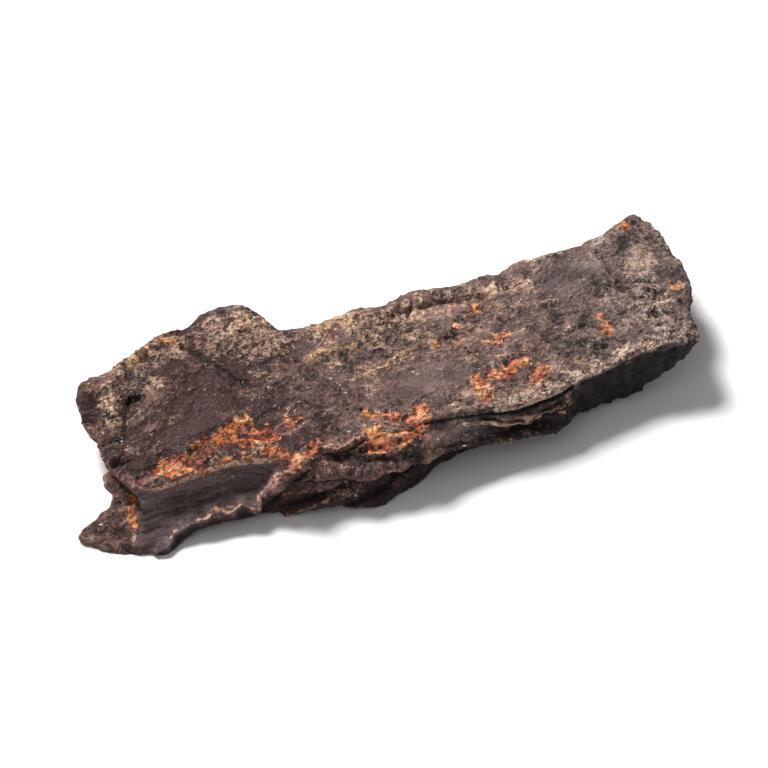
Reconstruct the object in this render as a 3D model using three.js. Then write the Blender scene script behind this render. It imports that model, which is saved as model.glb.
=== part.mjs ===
// One slab of air-dried horse liver, in millimetres, +Z up, lying on its flattest face.
//
// The slab is a rounded box whose lattice is led through a few steps:
//   1. its corners are rounded, and the rounding gives each point an outward direction;
//   2. its four sides move out to the outline seen from above, one for the top and one for the foot;
//   3. its two faces take the heights of the shrunken top and of the arched underside;
//   4. each point moves along its outward direction by the lumps, folds, cracks and flakes;
//   5. what would reach under the table is pressed flat, which gives the spots that it rests on.

import * as THREE from "three";
import { mergeVertices } from "three/addons/utils/BufferGeometryUtils.js";

// Driving dimensions of the cut strip, before its edges wander.
const LENGTH = 146;
const WIDTH = 44;
const THICKNESS = 15;

// Rounding of the crisp cut edge in front and of the softer natural edge behind.
const FRONT_ROUND = 2.6;
const BACK_ROUND = 4.6;

// Lattice cells along, across and through, and how much they crowd towards the edges.
const CELLS = { along: 80, across: 18, through: 14 };
const CROWDING = 0.3;

// Swells of the four sides seen from above: where they are centred, how far they reach, how far out.
const BACK_SWELLS = [
  { at: -33, reach: 12, out: 3.6 },
  { at: -18, reach: 9, out: -1.2 },
  { at: 4, reach: 9, out: -2 },
  { at: 71, reach: 12, out: 5.4 },
];
const BACK_SHOULDER = { from: -66, full: -46, until: -27, gone: -22, out: 8.5 };
const FRONT_TOP_SWELLS = [
  { at: 22, reach: 24, out: 3 },
  { at: -14, reach: 16, out: 1.6 },
  { at: 53, reach: 13, out: -2.2 },
  { at: -76, reach: 12, out: -6 },
];
const FRONT_FOOT_SWELLS = [
  { at: -68, reach: 9, out: 2 },
  { at: -20, reach: 24, out: 8 },
];
const LEFT_TOP_SWELLS = [
  { at: 18, reach: 9, out: -1 },
  { at: 3, reach: 7, out: -3.4 },
  { at: -20, reach: 10, out: -1.5 },
];
const LEFT_TOE = { at: -15, reach: 11, out: 11 };
const RIGHT_SWELLS = [
  { at: 10, reach: 20, out: 2 },
  { at: -15, reach: 13, out: -4 },
  { at: -26, reach: 14, out: -7 },
];

// How far the long sides and the foot of the left end lie outside the nominal box, before the swells.
const MARGIN = { back: 2, front: 1.5, leftFoot: -1 };

// Front edge: how far the striped cut at the left stands back at its top, and the undercut at the right.
const CUT_SETBACK = { from: -50, to: -32, depth: 5.5 };
const UNDERCUT = { from: 30, to: 37, depth: 3.2 };

// The left end turns from its toe to its top over this share of the thickness.
const LEFT_TURN = 0.5;

// Heights: the tilt of the left end, the curled corner, the boss, and where the underside lifts.
const TOP_TILT = { from: -20, to: -70, fall: 1.2, roll: 0.055 };
const CORNER_CURL = { x: 72, y: 24, reach: 20, rise: 2 };
const BOSS = { x: -32, y: 27, reach: 15, rise: 1.6 };
const SADDLE = { x: -8, y: 2, reachX: 34, reachY: 22, fall: 1.1 };
const RIGHT_LIFT = { from: 44, to: 70, rise: 11 };
const CORNER_LIFT = { fromX: -50, toX: -72, fromY: -6, toY: 14, rise: 8 };
const FRONT_ARCH = { at: -53, reach: 13, depth: 18, rise: 2.2 };

// The least thickness that a tapering end keeps.
const THIN_END = 3.4;

// Creases and pits of the top face: points seen from above, half width, height (down is negative).
const TOP_LINES = [
  { points: [[-44, 28], [-41, 18], [-37, 5]], half: 2.2, rise: -0.9 },
  { points: [[-30, 2], [-33, -3], [-40, -7]], half: 2.2, rise: -0.6 },
  { points: [[4, 15.5], [14, 16.5], [27, 14]], half: 2, rise: -1 },
  { points: [[6, 20.5], [16, 21], [30, 20]], half: 2.4, rise: 0.9 },
  { points: [[-66, -14], [-56, -13], [-50, -9], [-42, -7], [-33, -12]], half: 3, rise: -0.8 },
  { points: [[-14, -16], [-6, -20], [2, -16]], half: 3, rise: -0.7 },
  { points: [[12, 2], [15, 2.4]], half: 2.2, rise: -0.9 },
  { points: [[-63, 11], [-60, 10]], half: 2.4, rise: -1.2 },
  { points: [[-70, 16], [-60, 21], [-52, 28]], half: 3, rise: 1.1 },
];

// Folds, lips and cracks of the front wall: points along it and up it, half width, how far out.
const LIP = [[-69, 0.6], [-61, 3.2], [-55, 4.4], [-48, 4.2], [-43, 5], [-38, 9], [-32, 13.4]];
const FLAP = [[-6, 11.4], [2, 9.4], [9, 8.4], [17, 6.4], [23, 5.4], [27, 5.6], [31, 7]];
const WALL_LINES = [
  { points: LIP, half: 1.7, out: 2 },
  { points: FLAP, half: 2, out: 3.4 },
  { points: [[-2, 13], [8, 11.8], [16, 9.8], [24, 8.8], [30, 9.8]], half: 1.4, out: -2 },
  { points: [[-36, 6], [-26, 5.6], [-15, 6.8], [-4, 7.4]], half: 1.6, out: -1.6 },
  { points: [[-32, 9.4], [-24, 8.8], [-15, 9.8], [-6, 10.4]], half: 1.8, out: 1.1 },
  { points: [[-30, 12], [-24, 11.4], [-17, 12.4]], half: 1.5, out: -1.3 },
  { points: [[-71, 14], [-71.5, 8], [-72, 2]], half: 1.8, out: 0.8 },
];
const HOLLOW = { from: -74, full: -64, until: -44, gone: -34, depth: 2.6 };
const FLAP_RECESS = { from: 0, full: 12, until: 28, gone: 36, depth: 2.6, fade: 3.4 };

// The middle row of the lattice follows this line along the front wall, over the lip and the flap.
const SEAM = [
  [-74, 7.5], [-67, 3.4], [-48, 4.2], [-42, 6], [-35, 11.2], [-28, 8.8],
  [-18, 8.4], [-8, 11], [8, 8.6], [20, 6], [31, 6.6], [44, 7.5],
];

// Height at which the hollow of the wall runs out under the top edge.
const WALL_TOP = 14;

// Notch between the upper layer and the toe on the left end, at this height.
const TOE_NOTCH = { height: 7.6, half: 2.2, depth: 3.2, fromY: 3, toY: -4 };

// Lumps left by shrinking: wavelength, height and seed of each octave, then the nodules of the two ends.
const LUMPS = [
  { wave: 23, rise: 0.9, seed: 17 },
  { wave: 11, rise: 0.7, seed: 18 },
  { wave: 5.6, rise: 0.45, seed: 19 },
];
const NODULES = { wave: 8, rise: 2.2, seed: 17, endReach: 13, rightShare: 0.6, mean: 0.35 };
const UNDERSIDE_LUMPS = { wave: 16, rise: 2.2, seed: 26 };

const clamp01 = (value) => Math.min(1, Math.max(0, value));
const lerp = (low, high, share) => low + (high - low) * share;

// Smooth ramp from 0 at start to 1 at end, in either direction.
function ramp(start, end, value) {
  const share = clamp01((value - start) / (end - start));
  return share * share * (3 - 2 * share);
}

// Round hump, 1 at its centre and 0 at its reach and beyond.
function hump(distance, reach) {
  return 0.5 + 0.5 * Math.cos(Math.PI * clamp01(Math.abs(distance) / reach));
}

// Level stretch with a ramp up before it and a ramp down after it.
function shelf({ from, full, until, gone }, value) {
  return ramp(from, full, value) * (1 - ramp(until, gone, value));
}

function swells(list, value) {
  return list.reduce((sum, s) => sum + s.out * hump(value - s.at, s.reach), 0);
}

// One fixed random number from 0 to 1 for each corner of a grid of unit cubes.
function gridDraw(ix, iy, iz, seed) {
  let mixed =
    Math.imul(ix, 374761393) ^ Math.imul(iy, 668265263) ^
    Math.imul(iz, 1440662683) ^ Math.imul(seed, 1013904223);
  mixed = Math.imul(mixed ^ (mixed >>> 13), 1274126177);
  return ((mixed ^ (mixed >>> 16)) >>> 0) / 4294967296;
}

// Smooth noise from -1 to 1: the draws at the eight corners of the cube, blended.
function noise(x, y, z, seed) {
  const [ix, iy, iz] = [Math.floor(x), Math.floor(y), Math.floor(z)];
  const [sx, sy, sz] = [x - ix, y - iy, z - iz].map((t) => t * t * t * (t * (t * 6 - 15) + 10));
  let sum = 0;
  for (let corner = 0; corner < 8; corner++) {
    const [cx, cy, cz] = [corner & 1, (corner >> 1) & 1, (corner >> 2) & 1];
    const weight = (cx ? sx : 1 - sx) * (cy ? sy : 1 - sy) * (cz ? sz : 1 - sz);
    sum += weight * gridDraw(ix + cx, iy + cy, iz + cz, seed);
  }
  return 2 * sum - 1;
}

// Nodules: how near the closest scattered point is, 1 at the point and 0 from one cell away.
function nodules(x, y, z, seed) {
  const [ix, iy, iz] = [Math.floor(x), Math.floor(y), Math.floor(z)];
  let nearest = 1;
  for (let cell = 0; cell < 27; cell++) {
    const [jx, jy, jz] = [
      ix + (cell % 3) - 1,
      iy + (Math.floor(cell / 3) % 3) - 1,
      iz + Math.floor(cell / 9) - 1,
    ];
    const away = Math.hypot(
      jx + gridDraw(jx, jy, jz, seed) - x,
      jy + gridDraw(jx, jy, jz, seed + 1) - y,
      jz + gridDraw(jx, jy, jz, seed + 2) - z,
    );
    nearest = Math.min(nearest, away);
  }
  return 1 - nearest;
}

// Height of a chain of points at a place along it, level beyond its ends.
function chainHeight(points, along) {
  for (let i = 1; i < points.length; i++) {
    if (along > points[i][0]) continue;
    const [[a, low], [b, high]] = [points[i - 1], points[i]];
    return lerp(low, high, clamp01((along - a) / (b - a)));
  }
  return points[points.length - 1][1];
}

// Rounded ridge over a chain of points, 1 on the chain and fading over its half width.
function ridge(points, half, u, v) {
  let nearest = Infinity;
  for (let i = 1; i < points.length; i++) {
    const [[au, av], [bu, bv]] = [points[i - 1], points[i]];
    const [du, dv] = [bu - au, bv - av];
    const share = clamp01(((u - au) * du + (v - av) * dv) / (du * du + dv * dv));
    nearest = Math.min(nearest, Math.hypot(u - au - share * du, v - av - share * dv));
  }
  return Math.exp(-((nearest / half) ** 2));
}

// Outline from above, on the level between the foot (0) and the top (1).
function backEdge(x) {
  const shoulder = BACK_SHOULDER.out * shelf(BACK_SHOULDER, x);
  return WIDTH / 2 + MARGIN.back + shoulder + swells(BACK_SWELLS, x);
}

function frontEdge(x, level) {
  const setback = CUT_SETBACK.depth * (1 - ramp(CUT_SETBACK.from, CUT_SETBACK.to, x));
  const top = -WIDTH / 2 - MARGIN.front + setback - swells(FRONT_TOP_SWELLS, x);
  const undercut = UNDERCUT.depth * ramp(UNDERCUT.from, UNDERCUT.to, x);
  const foot = -WIDTH / 2 - MARGIN.front + undercut - swells(FRONT_FOOT_SWELLS, x);
  return lerp(foot, top, level);
}

function leftEnd(y, level) {
  const top = -LENGTH / 2 - swells(LEFT_TOP_SWELLS, y);
  const toe = LEFT_TOE.out * hump(y - LEFT_TOE.at, LEFT_TOE.reach);
  const foot = -LENGTH / 2 - MARGIN.leftFoot - toe;
  return lerp(foot, top, ramp(0, LEFT_TURN, level));
}

function rightEnd(y) {
  return LENGTH / 2 + swells(RIGHT_SWELLS, y);
}

// Height of the top face and of the underside at a place seen from above.
function topHeight(x, y) {
  const tilt = ramp(TOP_TILT.from, TOP_TILT.to, x);
  const curl = hump(Math.hypot(x - CORNER_CURL.x, y - CORNER_CURL.y), CORNER_CURL.reach);
  const boss = hump(Math.hypot(x - BOSS.x, y - BOSS.y), BOSS.reach);
  const saddle = hump(x - SADDLE.x, SADDLE.reachX) * hump(y - SADDLE.y, SADDLE.reachY);
  return (
    THICKNESS + tilt * (TOP_TILT.roll * y - TOP_TILT.fall) +
    CORNER_CURL.rise * curl + BOSS.rise * boss - SADDLE.fall * saddle
  );
}

function footHeight(x, y) {
  const right = RIGHT_LIFT.rise * ramp(RIGHT_LIFT.from, RIGHT_LIFT.to, x);
  const corner =
    CORNER_LIFT.rise *
    ramp(CORNER_LIFT.fromX, CORNER_LIFT.toX, x) *
    ramp(CORNER_LIFT.fromY, CORNER_LIFT.toY, y);
  const arch =
    FRONT_ARCH.rise * hump(x - FRONT_ARCH.at, FRONT_ARCH.reach) * hump(y + WIDTH / 2, FRONT_ARCH.depth);
  return Math.min(right + corner + arch, topHeight(x, y) - THIN_END);
}

// Level at which a lattice row lies once the middle row of the front wall follows the seam.
function seamLevel(x, y, level) {
  const front = ramp(-WIDTH / 4, -WIDTH / 2, y);
  const middle = lerp(0.5, chainHeight(SEAM, x) / THICKNESS, front);
  return level < 0.5 ? lerp(0, middle, level * 2) : lerp(middle, 1, level * 2 - 1);
}

// How far the front wall stands out at a place along it and up it.
function wallRelief(x, z) {
  const lines = WALL_LINES.reduce((sum, l) => sum + l.out * ridge(l.points, l.half, x, z), 0);
  const lip = chainHeight(LIP, x);
  const share = clamp01((z - lip) / (WALL_TOP - lip));
  const hollow = HOLLOW.depth * shelf(HOLLOW, x) * Math.sin(Math.PI * share);
  const flap = chainHeight(FLAP, x);
  const under = 1 - ramp(flap - FLAP_RECESS.fade, flap, z);
  const recess = FLAP_RECESS.depth * shelf(FLAP_RECESS, x) * under;
  return lines - hollow - recess;
}

function topRelief(x, y) {
  return TOP_LINES.reduce((sum, l) => sum + l.rise * ridge(l.points, l.half, x, y), 0);
}

// How far the left end stands out: a notch runs between the upper layer and the toe.
function leftRelief(y, z) {
  const notch = Math.exp(-(((z - TOE_NOTCH.height) / TOE_NOTCH.half) ** 2));
  return -TOE_NOTCH.depth * notch * ramp(TOE_NOTCH.fromY, TOE_NOTCH.toY, y);
}

// Moves one point of the nominal box to its place on the slab.
function place(point) {
  const half = new THREE.Vector3(LENGTH, WIDTH, THICKNESS).multiplyScalar(0.5);
  const round = lerp(FRONT_ROUND, BACK_ROUND, ramp(-WIDTH / 4, WIDTH / 4, point.y));
  const core = half.clone().subScalar(round);
  const inner = point.clone().clamp(core.clone().negate(), core);
  const outward = point.clone().sub(inner).normalize();
  const nominal = inner.addScaledVector(outward, round);

  const level = nominal.z / THICKNESS + 0.5;
  const x = lerp(leftEnd(nominal.y, level), rightEnd(nominal.y), nominal.x / LENGTH + 0.5);
  const y = lerp(frontEdge(x, level), backEdge(x), nominal.y / WIDTH + 0.5);
  const z = lerp(footHeight(x, y), topHeight(x, y), seamLevel(x, nominal.y, level));

  const share = { x: outward.x ** 2, y: outward.y ** 2, z: outward.z ** 2 };
  let out = LUMPS.reduce(
    (sum, l) => sum + l.rise * noise(x / l.wave, y / l.wave, z / l.wave, l.seed),
    0,
  );
  const [toLeft, toRight] = [LENGTH / 2 + x, LENGTH / 2 - x];
  const nearEnd = hump(toLeft, NODULES.endReach) + NODULES.rightShare * hump(toRight, NODULES.endReach);
  const [nx, ny, nz] = [x, y, z].map((value) => value / NODULES.wave);
  out += NODULES.rise * nearEnd * (nodules(nx, ny, nz, NODULES.seed) - NODULES.mean);
  if (outward.z > 0) out += share.z * topRelief(x, y);
  if (outward.z < 0) {
    const { wave, rise, seed } = UNDERSIDE_LUMPS;
    out += share.z * rise * noise(x / wave, y / wave, 0, seed);
  }
  if (outward.y < 0) out += share.y * wallRelief(x, z);
  if (outward.x < 0) out += share.x * leftRelief(y, z);

  point.set(x, y, z).addScaledVector(outward, out);
  point.z = Math.max(point.z, 0);
}

// Crowds evenly spaced lattice lines towards both ends of a side.
function crowd(value, side) {
  const share = value / (side / 2);
  return (side / 2) * (share + (CROWDING * Math.sin(Math.PI * share)) / Math.PI);
}

function makeSlab() {
  const box = new THREE.BoxGeometry(
    LENGTH, WIDTH, THICKNESS, CELLS.along, CELLS.across, CELLS.through,
  );
  box.deleteAttribute("normal");
  box.deleteAttribute("uv");
  const slab = mergeVertices(box, 1e-3);
  slab.clearGroups();
  const places = slab.getAttribute("position");
  const point = new THREE.Vector3();
  for (let i = 0; i < places.count; i++) {
    point.fromBufferAttribute(places, i);
    point.set(crowd(point.x, LENGTH), crowd(point.y, WIDTH), crowd(point.z, THICKNESS));
    place(point);
    places.setXYZ(i, point.x, point.y, point.z);
  }
  slab.computeBoundingBox();
  const middle = slab.boundingBox.getCenter(new THREE.Vector3());
  slab.translate(-middle.x, -middle.y, -slab.boundingBox.min.z);
  slab.computeVertexNormals();
  return slab;
}

const driedLiver = new THREE.Mesh(
  makeSlab(),
  new THREE.MeshStandardMaterial({ color: 0x5f4b45, roughness: 0.82, metalness: 0 }),
);
driedLiver.name = "dried_liver";

const group = new THREE.Group();
group.add(driedLiver);

export default group;
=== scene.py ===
# %% [markdown]
# # A slab of dried horse liver
#
# The real object is one strip of liver, cut, trimmed and dried in air until it is hard. Drying leaves a
# grey-brown crust with curly wrinkles on top, a crisp cut edge in front, and side walls that fold and
# peel in layers. Where the outer skin tore, rust-orange crumbs show.
#
# The solid model of the slab is loaded first. It fixes the size and the place of everything below.

# %% Load the frame
import math

import bpy
import numpy as np
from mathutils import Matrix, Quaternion, Vector


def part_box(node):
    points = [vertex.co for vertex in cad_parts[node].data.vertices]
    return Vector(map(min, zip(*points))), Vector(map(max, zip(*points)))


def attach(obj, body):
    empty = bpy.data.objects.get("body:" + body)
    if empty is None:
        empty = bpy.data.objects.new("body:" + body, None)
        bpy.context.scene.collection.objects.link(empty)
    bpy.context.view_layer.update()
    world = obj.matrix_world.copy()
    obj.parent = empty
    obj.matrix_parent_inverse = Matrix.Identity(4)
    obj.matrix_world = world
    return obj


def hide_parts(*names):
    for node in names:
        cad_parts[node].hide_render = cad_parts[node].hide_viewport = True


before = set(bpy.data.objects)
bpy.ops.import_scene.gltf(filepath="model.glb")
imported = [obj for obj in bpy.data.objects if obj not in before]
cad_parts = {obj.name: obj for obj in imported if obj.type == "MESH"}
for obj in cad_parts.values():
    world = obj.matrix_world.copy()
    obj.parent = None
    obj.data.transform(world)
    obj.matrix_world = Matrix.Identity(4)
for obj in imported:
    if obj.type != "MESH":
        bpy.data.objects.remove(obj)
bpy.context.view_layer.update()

NODE = "dried_liver"
MM = 0.001

# %% [markdown]
# ## The camera
#
# A long lens from a little under a metre keeps the edges of a flat thing nearly parallel, as in a
# product picture. The camera looks down on the slab at 41 degrees, a little from the left, so that the top
# face, the cut front wall and the flared lower corner at the left all show. It is placed by two
# angles and a distance from the point that it looks at, which reads better than three coordinates.
# The slab lay off the middle of a wider picture, where things stand a little aslant, so the camera is
# also rolled by a small angle.

# %% Camera
AZIMUTH = -19.6
ELEVATION = 40.7
ROLL = -2.5
DISTANCE = 0.771
LENS = 155.0
LOOK_AT = Vector((-0.0008, -0.0021, 0.008))


def direction(azimuth, elevation):
    """Unit vector from a target towards a place that is seen at these two angles, in degrees."""
    a, e = math.radians(azimuth), math.radians(elevation)
    return Vector((math.sin(a) * math.cos(e), -math.cos(a) * math.cos(e), math.sin(e)))


def aim(thing, target, azimuth, elevation, distance, roll=0.0):
    """Puts a camera or lamp at its angles and distance from the target, facing it, then rolls it."""
    back = direction(azimuth, elevation)
    turn = (-back).to_track_quat("-Z", "Y") @ Quaternion((0, 0, 1), math.radians(roll))
    thing.location = target + back * distance
    thing.rotation_euler = turn.to_euler()


camera = bpy.data.objects.new("camera", bpy.data.cameras.new("camera"))
camera.data.lens = LENS
bpy.context.scene.collection.objects.link(camera)
bpy.context.scene.camera = camera
aim(camera, LOOK_AT, AZIMUTH, ELEVATION, DISTANCE, ROLL)
print("camera at", [round(value, 3) for value in camera.location])

# %% [markdown]
# ## Blending and noise
#
# Every form below is a sum of a few simple curves: a ramp, a round hump and a level shelf. Uneven
# things need noise. It is worked out here from a hash of whole numbers, so that it is the same on
# each run, and so that it is the same noise that shaped the solid model.

# %% Curves
def lerp(low, high, share):
    """Straight blend: low at share 0 and high at share 1."""
    return low + (high - low) * share


def ramp(start, end, value):
    """Smooth ramp, 3 t squared minus 2 t cubed, from 0 at start to 1 at end, in either direction."""
    share = np.clip((value - start) / (end - start), 0, 1)
    return share * share * (3 - 2 * share)


def hump(distance, reach):
    """Raised cosine: 1 at distance 0, falling to 0 at the reach and beyond."""
    return 0.5 + 0.5 * np.cos(np.pi * np.clip(np.abs(distance) / reach, 0, 1))


def shelf(start, full, until, gone, value):
    """Level stretch at 1 from full to until, with a smooth ramp before it and after it."""
    return ramp(start, full, value) * (1 - ramp(until, gone, value))


def swells(rows, value):
    """Sum of humps: each row gives where the hump is centred, how far it reaches and how high it is."""
    return sum(rise * hump(value - at, reach) for at, reach, rise in rows)


def chain_distance(chain, u, v):
    """Distance to a chain of points: positive on its left-hand side as one walks along it."""
    nearest = np.full(np.shape(u), np.inf)
    side = np.ones(np.shape(u))
    for (au, av), (bu, bv) in zip(chain[:-1], chain[1:]):
        du, dv = bu - au, bv - av
        share = np.clip(((u - au) * du + (v - av) * dv) / (du * du + dv * dv), 0, 1)
        distance = np.hypot(u - au - share * du, v - av - share * dv)
        closer = distance < nearest
        side = np.where(closer, np.where(du * (v - av) < dv * (u - au), -1, 1), side)
        nearest = np.where(closer, distance, nearest)
    return nearest * side


def ridge(chain, half, u, v):
    """Rounded ridge over a chain of points: e to the power of minus (distance over half width) squared."""
    return np.exp(-((chain_distance(chain, u, v) / half) ** 2))


def lines(rows, u, v):
    """Sum of ridges: each row gives a chain of points, a half width and how far the ridge rises."""
    return sum(rise * ridge(chain, half, u, v) for chain, half, rise in rows)


def spots(rows, u, v):
    """Sum of round humps: each row gives the centre's two coordinates, the reach and the rise."""
    return sum(rise * hump(np.hypot(u - at_u, v - at_v), reach) for at_u, at_v, reach, rise in rows)


def chain_height(chain, along):
    """Height of a chain of points at a place along it, level beyond its two ends."""
    return np.interp(along, *zip(*chain))


# %% Noise
def grid_draw(cell, seed):
    """One fixed random number from 0 to 1 for each corner of a grid of unit cubes.

    The three whole numbers and the seed are multiplied by large odd numbers and mixed bit by bit.
    """
    ix, iy, iz = cell.astype(np.int64).astype(np.uint32).T
    mixed = ix * np.uint32(374761393) ^ iy * np.uint32(668265263) ^ iz * np.uint32(1440662683)
    mixed = mixed ^ np.uint32(seed * 1013904223 % 2**32)
    mixed = (mixed ^ (mixed >> np.uint32(13))) * np.uint32(1274126177)
    return (mixed ^ (mixed >> np.uint32(16))) / 2.0**32


def noise(points, wave, seed):
    """Smooth noise from -1 to 1: the draws at the eight corners round each point, blended."""
    scaled = points / wave
    cell = np.floor(scaled)
    t = scaled - cell
    t = t * t * t * (t * (t * 6 - 15) + 10)
    total = np.zeros(len(points))
    for corner in np.ndindex(2, 2, 2):
        weight = np.where(np.array(corner) == 1, t, 1 - t).prod(axis=1)
        total += weight * grid_draw(cell + corner, seed)
    return 2 * total - 1


def nearest_seed(points, wave, seed):
    """Distance, in wavelengths and at most 1, from each point to the nearest of scattered seed points."""
    scaled = points / wave
    cell = np.floor(scaled)
    nearest = np.ones(len(points))
    for step in np.ndindex(3, 3, 3):
        corner = cell + step - 1
        places = corner + np.stack([grid_draw(corner, seed + k) for k in range(3)], axis=1)
        nearest = np.minimum(nearest, np.linalg.norm(places - scaled, axis=1))
    return nearest


# %% [markdown]
# ## The slab's body
#
# The slab could be sculpted, or cut out of a block, but its own story is simpler to tell with
# functions. A rounded box is led through the steps that the real strip went through: its four sides move to
# the outline, its two faces take their heights, and folds and lumps push it out or in. All sizes
# here are millimetres, and they are the ones that shaped the solid model.

# %% Sizes of the body
LENGTH, WIDTH, THICKNESS = 146.0, 44.0, 15.0
FRONT_ROUND, BACK_ROUND = 2.6, 4.6
MARGIN_BACK, MARGIN_FRONT, MARGIN_LEFT_FOOT = 2.0, 1.5, -1.0
THIN_END = 3.4

# Rows of swells: centre, reach and how far out.
BACK_SWELLS = [(-33, 12, 3.6), (-18, 9, -1.2), (4, 9, -2), (71, 12, 5.4)]
FRONT_TOP_SWELLS = [(22, 24, 3), (-14, 16, 1.6), (53, 13, -2.2), (-76, 12, -6)]
FRONT_FOOT_SWELLS = [(-68, 9, 2), (-20, 24, 8)]
LEFT_TOP_SWELLS = [(18, 9, -1), (3, 7, -3.4), (-20, 10, -1.5)]
LEFT_TOE = [(-15, 11, 11)]
RIGHT_SWELLS = [(10, 20, 2), (-15, 13, -4), (-26, 14, -7)]
LEFT_TURN = 0.5

# Chains along the front wall: place along it and height on it.
LIP = [(-69, 0.6), (-61, 3.2), (-55, 4.4), (-48, 4.2), (-43, 5), (-38, 9), (-32, 13.4)]
FLAP = [(-6, 11.4), (2, 9.4), (9, 8.4), (17, 6.4), (23, 5.4), (27, 5.6), (31, 7)]
CRACK = [(-2, 13), (8, 11.8), (16, 9.8), (24, 8.8), (30, 9.8)]
SEAM = [
    (-74, 7.5), (-67, 3.4), (-48, 4.2), (-42, 6), (-35, 11.2), (-28, 8.8), (-18, 8.4), (-8, 11), (8, 8.6),
    (20, 6), (31, 6.6), (44, 7.5),
]
WALL_TOP = 14.0

# Lines of the front wall and of the top face: chain, half width and how far out or up.
WALL_LINES = [
    (LIP, 1.7, 2),
    (FLAP, 2, 3.4),
    (CRACK, 1.4, -2),
    ([(-36, 6), (-26, 5.6), (-15, 6.8), (-4, 7.4)], 1.6, -1.6),
    ([(-32, 9.4), (-24, 8.8), (-15, 9.8), (-6, 10.4)], 1.8, 1.1),
    ([(-30, 12), (-24, 11.4), (-17, 12.4)], 1.5, -1.3),
    ([(-71, 14), (-71.5, 8), (-72, 2)], 1.8, 0.8),
]
CREASE = [(-44, 28), (-41, 18), (-37, 5)]
BRANCH = [(-30, 2), (-33, -3), (-40, -7)]
BACK_CRACK = [(4, 15.5), (14, 16.5), (27, 14)]
TOP_LINES = [
    (CREASE, 2.2, -0.9),
    (BRANCH, 2.2, -0.6),
    (BACK_CRACK, 2, -1),
    ([(6, 20.5), (16, 21), (30, 20)], 2.4, 0.9),
    ([(-66, -14), (-56, -13), (-50, -9), (-42, -7), (-33, -12)], 3, -0.8),
    ([(-14, -16), (-6, -20), (2, -16)], 3, -0.7),
    ([(12, 2), (15, 2.4)], 2.2, -0.9),
    ([(-63, 11), (-60, 10)], 2.4, -1.2),
    ([(-70, 16), (-60, 21), (-52, 28)], 3, 1.1),
]

# Lumps all over, of the two ends and of the underside: wavelength, height and seed.
LUMPS = [(23, 0.9, 17), (11, 0.7, 18), (5.6, 0.45, 19)]
END_WAVE, END_RISE, END_SEED = 8, 2.2, 17
FOOT_WAVE, FOOT_RISE, FOOT_SEED = 16, 2.2, 26


# %% Outline from above
def back_edge(x):
    """Back edge: a straight line with a broad shoulder at the left and a few swells."""
    return WIDTH / 2 + MARGIN_BACK + 8.5 * shelf(-66, -46, -27, -22, x) + swells(BACK_SWELLS, x)


def front_edge(x, level):
    """Front edge: a blend of the foot's line at level 0 and the top's line at level 1."""
    setback = 5.5 * (1 - ramp(-50, -32, x))
    top = -WIDTH / 2 - MARGIN_FRONT + setback - swells(FRONT_TOP_SWELLS, x)
    foot = -WIDTH / 2 - MARGIN_FRONT + 3.2 * ramp(30, 37, x) - swells(FRONT_FOOT_SWELLS, x)
    return lerp(foot, top, level)


def left_end(y, level):
    """Left end: a toe flares out at the foot and turns into the lobed top by half the thickness."""
    top = -LENGTH / 2 - swells(LEFT_TOP_SWELLS, y)
    foot = -LENGTH / 2 - MARGIN_LEFT_FOOT - swells(LEFT_TOE, y)
    return lerp(foot, top, ramp(0, LEFT_TURN, level))


def right_end(y):
    """Right end: a straight line with three swells."""
    return LENGTH / 2 + swells(RIGHT_SWELLS, y)


# %% Heights of the two faces
def top_height(x, y):
    """Top face: level, tilted at the left, with a curled corner, a boss and a shallow saddle."""
    tilt = ramp(-20, -70, x) * (0.055 * y - 1.2)
    curl = 2 * hump(np.hypot(x - 72, y - 24), 20)
    boss = 1.6 * hump(np.hypot(x + 32, y - 27), 15)
    saddle = 1.1 * hump(x + 8, 34) * hump(y - 2, 22)
    return THICKNESS + tilt + curl + boss - saddle


def foot_height(x, y):
    """Underside: lifted at the right end and the left back corner, and arched behind the front lip."""
    right = 11 * ramp(44, 70, x)
    corner = 8 * ramp(-50, -72, x) * ramp(-6, 14, y)
    arch = 2.2 * hump(x + 53, 13) * hump(y + WIDTH / 2, 18)
    return np.minimum(right + corner + arch, top_height(x, y) - THIN_END)


def seam_level(x, y, level):
    """Level of a lattice row, once the middle row of the front wall follows the seam."""
    front = ramp(-WIDTH / 4, -WIDTH / 2, y)
    middle = lerp(0.5, chain_height(SEAM, x) / THICKNESS, front)
    return np.where(level < 0.5, middle * level * 2, lerp(middle, 1, level * 2 - 1))


# %% Relief of the walls
def wall_relief(x, z):
    """Front wall: its lines, less the hollow over the lip and the recess under the flap."""
    lip = chain_height(LIP, x)
    share = np.clip((z - lip) / (WALL_TOP - lip), 0, 1)
    hollow = 2.6 * shelf(-74, -64, -44, -34, x) * np.sin(np.pi * share)
    flap = chain_height(FLAP, x)
    recess = 2.6 * shelf(0, 12, 28, 36, x) * (1 - ramp(flap - 3.4, flap, z))
    return lines(WALL_LINES, x, z) - hollow - recess


def left_relief(y, z):
    """Left end: a notch between the upper layer and the toe."""
    return -3.2 * np.exp(-(((z - 7.6) / 2.2) ** 2)) * ramp(3, -4, y)


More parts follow.
